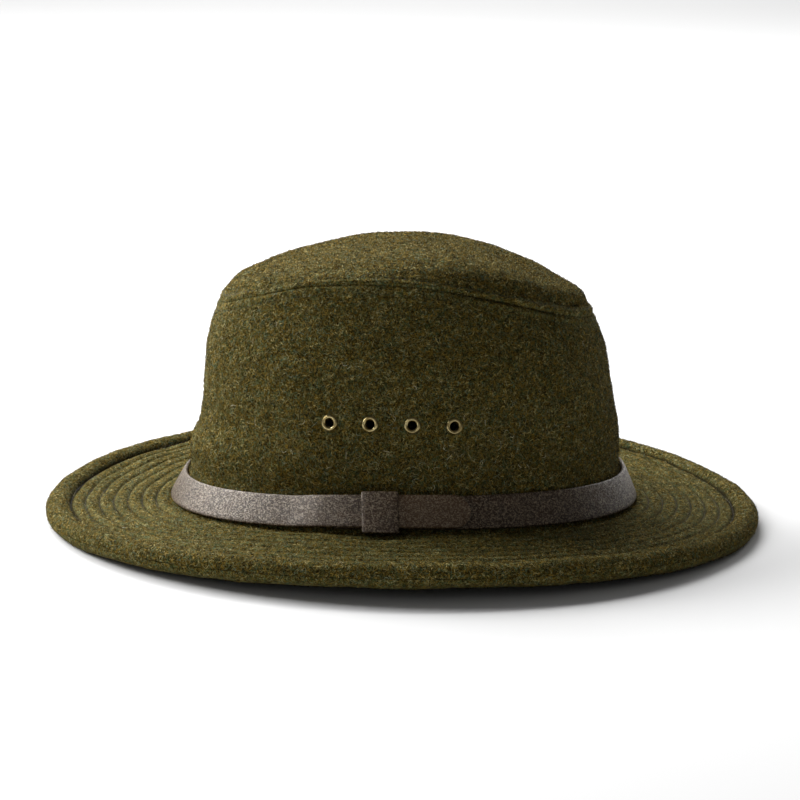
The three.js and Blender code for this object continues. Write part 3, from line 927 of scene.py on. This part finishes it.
def milled_wool():
    """Milled heather wool: fibres of several colours felted flat, so it is matt with a soft bloom."""
    material = new_material("milled_heather_wool")
    tree = material.node_tree
    place = add_node(tree, "ShaderNodeTexCoord").outputs["Object"]
    fleck = add_node(tree, NOISE, values={"Scale": 1 / FLECK_SIZE, "Detail": 3.0,
                     "Roughness": 0.75, "Distortion": 0.8}, links={"Vector": place})
    cloud = add_node(tree, NOISE, values={"Scale": 1 / CLOUD_SIZE, "Detail": 3.0},
                     links={"Vector": place})
    tint = add_node(tree, NOISE, values={"Scale": 1 / TINT_SIZE, "Detail": 2.0},
                    links={"Vector": place})
    warm = add_node(tree, RAMP, links={0: fleck.outputs["Fac"]},
                    stops=[(0.34, "#140f02"), (0.44, "#2c2408"), (0.51, "#473c12"),
                           (0.58, "#66541d"), (0.66, "#86702f")]).outputs["Color"]
    cool = add_node(tree, RAMP, links={0: fleck.outputs["Fac"]},
                    stops=[(0.34, "#101204"), (0.44, "#24270c"), (0.51, "#3b3f1b"),
                           (0.58, "#4e5a34"), (0.66, "#6c7a55")]).outputs["Color"]
    share = add_node(tree, RAMP, links={0: tint.outputs["Fac"]},
                     stops=[(0.47, 0.0), (0.62, 0.8)]).outputs["Color"]
    heather = add_node(tree, MIX, COLOURS, links={SHARE: share, FIRST: warm, SECOND: cool})
    for size, width, seed, code in HEATHER_FILAMENTS:
        mask = filaments(tree, place, size, width, seed)
        heather = add_node(tree, MIX, COLOURS, {SECOND: linear(code)},
                           {SHARE: mask, FIRST: heather.outputs[MIXED]})
    shade = add_node(tree, RAMP, links={0: cloud.outputs["Fac"]},
                     stops=[(0.32, 0.70), (0.68, 1.0)]).outputs["Color"]
    shaded = add_node(tree, MIX, {"data_type": "RGBA", "blend_type": "MULTIPLY"}, {SHARE: 1.0},
                      {FIRST: heather.outputs[MIXED], SECOND: shade}).outputs[MIXED]
    # Painted shade: the colour goes towards near black in the brim's stitched grooves, where shade falls
    painted_groove_shade = add_node(tree, "ShaderNodeAttribute", {"attribute_name": PAINTED_GROOVE_SHADE}).outputs["Fac"]
    colour = add_node(tree, MIX, COLOURS, {SECOND: linear("#0e0b03")},
                      {SHARE: painted_groove_shade, FIRST: shaded}).outputs[MIXED]
    lumps = add_node(tree, BUMP, values={"Strength": 0.6, "Distance": TINT_HEIGHT},
                     links={"Height": tint.outputs["Fac"]})
    bump = add_node(tree, BUMP, values={"Strength": 1.0, "Distance": FLECK_HEIGHT},
                    links={"Height": fleck.outputs["Fac"], "Normal": lumps.outputs["Normal"]})
    shader = add_node(tree, PRINCIPLED,
                      values={"Roughness": 0.95, "Sheen Weight": 0.02, "Sheen Roughness": 0.5,
                              "Sheen Tint": linear("#8f8450"), "Specular IOR Level": 0.04},
                      links={"Base Color": colour, "Normal": bump.outputs["Normal"]})
    return finish_material(material, shader)


def wool_fibre():
    """Single wool fibres on the face of the cloth, each dyed its own colour of the heather."""
    material = new_material("heather_wool_fibre")
    tree = material.node_tree
    each = add_node(tree, "ShaderNodeNewGeometry").outputs["Random Per Island"]
    colour = add_node(tree, RAMP, {"interpolation": "CONSTANT"}, links={0: each},
                      stops=[(0.0, "#100b01"), (0.16, "#251d06"), (0.32, "#423612"), (0.48, "#5e4b1a"),
                             (0.62, "#7d6426"), (0.72, "#3f4a2a"), (0.80, "#957b38"), (0.90, "#667560"),
                             (0.95, "#b9aa70")]).outputs["Color"]
    shader = add_node(tree, PRINCIPLED,
                      values={"Roughness": 0.8, "Specular IOR Level": 0.02},
                      links={"Base Color": colour})
    return finish_material(material, shader)


def stray_fibre():
    """Coarse pale guard hairs that work loose from the wool and curl on its face."""
    material = new_material("pale_guard_hair")
    tree = material.node_tree
    each = add_node(tree, "ShaderNodeNewGeometry").outputs["Random Per Island"]
    colour = add_node(tree, RAMP, {"interpolation": "CONSTANT"}, links={0: each},
                      stops=[(0.0, "#7c7144"), (0.5, "#a3976a"), (0.75, "#8f9a82"),
                             (0.9, "#cfc7a6")]).outputs["Color"]
    shader = add_node(tree, PRINCIPLED, values={"Roughness": 0.6, "Specular IOR Level": 0.4},
                      links={"Base Color": colour})
    return finish_material(material, shader)


def sewing_thread():
    """Spun polyester sewing thread in olive, slightly glossy next to the wool."""
    material = new_material("olive_sewing_thread")
    tree = material.node_tree
    each = add_node(tree, "ShaderNodeNewGeometry").outputs["Random Per Island"]
    colour = add_node(tree, RAMP, links={0: each},
                      stops=[(0.0, "#1c1606"), (0.8, "#2f280f"), (1.0, "#6f6438")]).outputs["Color"]
    shader = add_node(tree, PRINCIPLED, values={"Roughness": 0.6, "Specular IOR Level": 0.2},
                      links={"Base Color": colour})
    return finish_material(material, shader)


def strap_leather():
    """Finished cowhide, dyed dark brown: a fine pebble grain under a satin coat, with pale specks painted in
    as glints and painted light that makes the tab paler.
    """
    material = new_material("dark_brown_cowhide")
    tree = material.node_tree
    place = add_node(tree, "ShaderNodeTexCoord").outputs["Object"]
    pebble = add_node(tree, "ShaderNodeTexVoronoi", {"feature": "F1"}, {"Scale": 1 / PEBBLE_SIZE},
                      {"Vector": place})
    each = add_node(tree, "ShaderNodeSeparateColor", links={"Color": pebble.outputs["Color"]}).outputs["Red"]
    grain = add_node(tree, NOISE, values={"Scale": 1 / GRAIN_SIZE, "Detail": 2.0,
                     "Roughness": 0.7}, links={"Vector": place})
    patch = add_node(tree, NOISE, values={"Scale": 1 / DYE_PATCH_SIZE, "Detail": 3.0},
                     links={"Vector": place})
    dyed = add_node(tree, RAMP, links={0: patch.outputs["Fac"]},
                    stops=[(0.3, "#241507"), (0.55, "#2e1d0c"), (0.75, "#3a2612")]).outputs["Color"]
    # Painted light: the colour turns paler on the tab
    painted_tab_light = add_node(tree, "ShaderNodeAttribute", {"attribute_name": PAINTED_TAB_LIGHT}).outputs["Fac"]
    tab_lit_colour = add_node(tree, MIX, COLOURS, {SECOND: linear("#4a3622")},
                     {SHARE: painted_tab_light, FIRST: dyed}).outputs[MIXED]
    # Painted highlight: pale specks on random cells of the grain stand in for its glints, next to the real
    # gloss below
    painted_glints = add_node(tree, RAMP, links={0: each}, stops=[(0.5, 0.0), (1.0, 0.95)]).outputs["Color"]
    colour = add_node(tree, MIX, COLOURS, {SECOND: linear("#80705a")},
                      {SHARE: painted_glints, FIRST: tab_lit_colour}).outputs[MIXED]
    gloss = add_node(tree, RAMP, links={0: each}, stops=[(0.0, 0.55), (1.0, 0.34)]).outputs["Color"]
    level = add_node(tree, RAMP, links={0: each},
                     stops=[(0.0, 0.25), (0.6, 0.7), (1.0, 1.0)]).outputs["Color"]
    first = add_node(tree, BUMP, values={"Strength": 1.0, "Distance": PEBBLE_HEIGHT},
                     links={"Height": pebble.outputs["Distance"]})
    second = add_node(tree, BUMP, values={"Strength": 0.8, "Distance": GRAIN_HEIGHT},
                      links={"Height": grain.outputs["Fac"], "Normal": first.outputs["Normal"]})
    shader = add_node(tree, PRINCIPLED,
                      values={"IOR": 1.5, "Specular Tint": linear("#fff7ec")},
                      links={"Base Color": colour, "Roughness": gloss, "Specular IOR Level": level,
                             "Normal": second.outputs["Normal"]})
    return finish_material(material, shader)


def antique_brass():
    """Antique brass: stamped, tumbled and dulled, so the rims shine and the rest is brown."""
    material = new_material("antique_brass")
    tree = material.node_tree
    place = add_node(tree, "ShaderNodeTexCoord").outputs["Object"]
    tarnish = add_node(tree, NOISE, values={"Scale": 1 / TARNISH_SIZE, "Detail": 2.0},
                       links={"Vector": place})
    colour = add_node(tree, RAMP, links={0: tarnish.outputs["Fac"]},
                      stops=[(0.35, "#8f7d50"), (0.7, "#c6b684")]).outputs["Color"]
    gloss = add_node(tree, RAMP, links={0: tarnish.outputs["Fac"]},
                     stops=[(0.35, 0.34), (0.7, 0.26)]).outputs["Color"]
    shader = add_node(tree, PRINCIPLED, values={"Metallic": 1.0},
                      links={"Base Color": colour, "Roughness": gloss})
    return finish_material(material, shader)


def floor_paint():
    """Matt pale studio floor."""
    material = new_material("pale_studio_floor")
    tree = material.node_tree
    shader = add_node(tree, PRINCIPLED,
                      values={"Base Color": linear("#d2d2d2"), "Roughness": 0.9, "Specular IOR Level": 0.1})
    return finish_material(material, shader)


WOOL = milled_wool()
FIBRE = wool_fibre()
STRAY = stray_fibre()
THREAD = sewing_thread()
LEATHER_BROWN = strap_leather()
BRASS = antique_brass()


# Studio
FLOOR_HALF = 6.0
CROWN_AIM = (0.0, 0.0, 0.06)
FLOOR_BEHIND = (0.0, 4.6, 0.0)
AIR_STRENGTH = 0.12

# Columns: name, position, what it points at, width, height, watts.
SOFT_BOXES = (
    ("key_soft_box", (-1.32, 0.48, 0.94), CROWN_AIM, 0.8, 0.8, 36.0),
    ("rear_left_soft_box", (-1.05, 1.0, 1.1), CROWN_AIM, 0.8, 0.8, 20.0),
    ("rear_top_soft_box", (-0.3, 1.3, 1.4), CROWN_AIM, 1.2, 0.8, 50.0),
    ("right_soft_box", (1.2, 1.6, 0.8), CROWN_AIM, 0.5, 0.9, 8.5),
    ("front_soft_box", (-0.9, -1.7, 0.8), CROWN_AIM, 0.9, 0.9, 2.8),
    ("background_soft_box", (0.2, 3.4, 1.8), FLOOR_BEHIND, 3.0, 1.2, 110.0),
)


def studio_floor():
    corners = np.array([(-1, -1, 0), (1, -1, 0), (1, 1, 0), (-1, 1, 0)]) * FLOOR_HALF
    floor = new_object("studio_floor", corners, [[0, 1, 2, 3]], floor_paint())


def soft_box(name, position, aim, width, height, watts):
    light = bpy.data.lights.new(name, "AREA")
    light.shape = "RECTANGLE"
    light.size = width
    light.size_y = height
    light.energy = watts
    lamp = bpy.data.objects.new(name, light)
    bpy.context.scene.collection.objects.link(lamp)
    lamp.location = position
    away = Vector(np.array(position) - np.array(aim))
    lamp.rotation_euler = away.to_track_quat("Z", "Y").to_euler()


def studio_light():
    for box in SOFT_BOXES:
        soft_box(*box)
    world = bpy.data.worlds.new("studio_air")
    world.use_nodes = True
    background = world.node_tree.nodes["Background"]
    background.inputs["Color"].default_value = (1.0, 1.0, 1.0, 1.0)
    background.inputs["Strength"].default_value = AIR_STRENGTH
    bpy.context.scene.world = world
    bpy.context.scene.view_settings.view_transform = "Standard"


# Camera: the photo's viewing angle, fitted to the hat's outline
CAMERA_POSITION = (-0.0581, -1.5577, 0.4176)
CAMERA_RIGHT = (0.99935, -0.03229, 0.01603)
CAMERA_UP = (-0.00833, 0.22583, 0.97413)
CAMERA_BACK = (-0.03507, -0.97363, 0.22542)
LENS_MM = 152.3
SENSOR_MM = 36.0


def camera():
    data = bpy.data.cameras.new("photo_camera")
    data.sensor_width = SENSOR_MM
    data.lens = LENS_MM
    data.clip_start = 0.01
    eye = bpy.data.objects.new("photo_camera", data)
    bpy.context.scene.collection.objects.link(eye)
    turned = Matrix((CAMERA_RIGHT, CAMERA_UP, CAMERA_BACK)).transposed().to_4x4()
    eye.matrix_world = Matrix.Translation(CAMERA_POSITION) @ turned
    bpy.context.scene.camera = eye


def keep(piece, node=None):
    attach(piece, "root")
    if node:
        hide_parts(node)


camera()
studio_floor()
studio_light()

side_cloth, side_skin = crown_side()
tip_cloth, tip_skin = crown_tip()
upper_cloth, upper_face = brim_layer("brim_upper_cloth", 1)
lower_cloth, lower_face = brim_layer("brim_lower_cloth", -1)
keep(side_cloth, "crown_side")
keep(tip_cloth, "crown_tip")
keep(upper_cloth, "brim_upper")
keep(lower_cloth, "brim_lower")
keep(band_strap(), "band_strap")
keep(band_keeper(), "band_keeper")
for ring in eyelets():
    keep(ring)
keep(crown_thread(side_skin, tip_skin))
keep(brim_thread("brim_upper_stitching", upper_face, 1))
keep(brim_thread("brim_lower_stitching", lower_face, -1))

# Kinds of fibre: nap lies flat, fuzz stands a little, guard hairs are long and pale. Real ones are 0.02 to
# 0.04 mm thick. They are drawn 0.10 to 0.28 mm wide, because finer ones wouldn't show in the render.
NAP = dict(length=(0.9 * MM, 2.4 * MM), width=(0.14 * MM, 0.28 * MM), lift=(0.05 * MM, 0.45 * MM),
           curl=0.35, stations=3, material=FIBRE)
FUZZ = dict(length=(1.4 * MM, 3.2 * MM), width=(0.13 * MM, 0.24 * MM), lift=(0.3 * MM, 0.9 * MM),
            curl=0.5, stations=3, material=FIBRE, stand=1.4)
HAIR = dict(length=(1.8 * MM, 4.4 * MM), width=(0.10 * MM, 0.18 * MM), lift=(0.1 * MM, 0.6 * MM),
            curl=0.7, stations=7, material=STRAY)

# Where hands rub the crown: the middle of its left side, above the strap
RUBBED_DEG = -80.0
RUBBED_REACH_DEG = 38.0
RUBBED_HEIGHT = 50 * MM
RUBBED_HEIGHT_REACH = 18 * MM
ROWS_BEHIND_STRAP = 4

above_band = slice(int(np.argmax(side_skin[:, 0, 2] > STRAP_COVERS)) - ROWS_BEHIND_STRAP, None)
brim_gaps = bare_strips(stitched_rows(brim_rows(), BRIM_BARE_REACH))[:, None] * np.ones(BRIM_COLUMNS)
side_gaps = near_rows(side_skin, len(side_skin) - 1, (0.0, -TOPSTITCH_BELOW))
tip_gaps = near_rows(tip_skin, 0, (0.0, TOPSTITCH_ABOVE))
rubbed_crown_and_lit_tab = (bump_at(turned_from(side_skin, RUBBED_DEG), 0, RUBBED_REACH_DEG)
          * bump_at(side_skin[..., 2], RUBBED_HEIGHT, RUBBED_HEIGHT_REACH))

# Columns: name, cloth, number of fibres, kind, limits.
FIBRE_LAYERS = (
    ("crown_side_nap", side_skin, 60000, NAP, {"rows": above_band, "avoid": side_gaps}),
    ("crown_tip_nap", tip_skin, 28000, NAP, {"avoid": tip_gaps}),
    ("brim_upper_nap", upper_face, 50000, NAP, {"avoid": brim_gaps}),
    ("brim_lower_nap", lower_face, 14000, NAP, {"flip": -1}),
    ("crown_side_fuzz", side_skin, 11000, FUZZ, {"rows": above_band, "avoid": side_gaps}),
    ("crown_tip_fuzz", tip_skin, 7000, FUZZ, {"avoid": tip_gaps}),
    ("brim_fuzz", upper_face, 5000, FUZZ, {"avoid": brim_gaps}),
    ("crown_stray_fibres", side_skin, 260, HAIR, {"rows": above_band}),
    ("crown_rubbed_fibres", side_skin, 420, HAIR, {"rows": above_band, "avoid": 1 - rubbed_crown_and_lit_tab}),
    ("brim_stray_fibres", upper_face, 160, HAIR, {}),
)
for name, skin, count, kind, limits in FIBRE_LAYERS:
    keep(fibres(name, skin, count, **kind, **limits))
